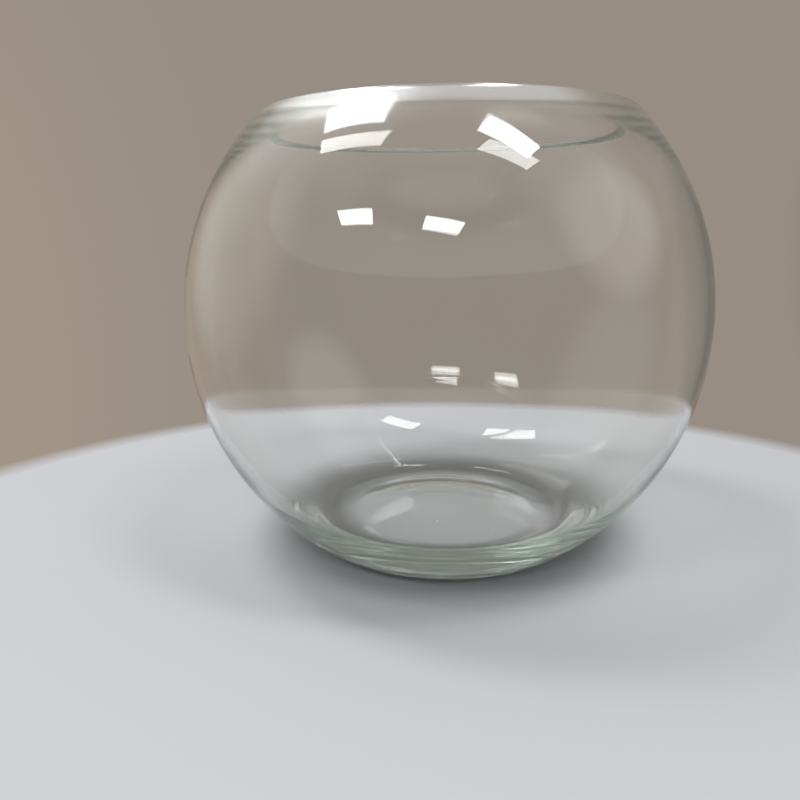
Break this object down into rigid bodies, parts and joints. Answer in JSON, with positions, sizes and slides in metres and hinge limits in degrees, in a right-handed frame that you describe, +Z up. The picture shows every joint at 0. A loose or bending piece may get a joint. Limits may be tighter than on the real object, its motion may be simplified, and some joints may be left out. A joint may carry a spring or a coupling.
{
  "type": "fishbowl vase",
  "caption": "Round clear glass vase: a thin-walled, nearly spherical bowl with a wide open mouth, a flat, thickened lip and a thick base on a flat foot ring, for flowers, fruit or candles.",
  "frame": {"origin": "on the plane that the bowl stands on, under the middle of the bowl", "axes": "+Z up, along the bowl's axis of revolution; +X and +Y are any two horizontal directions"},
  "size_m": [0.23, 0.23, 0.189],
  "materials": {
    "clear_glass": "clear soda-lime glass, fire-polished and glossy, faintly grey-green where it is thick"
  },
  "bodies": {
    "root": {"glass_bowl": "clear_glass"}
  },
  "joints": []
}
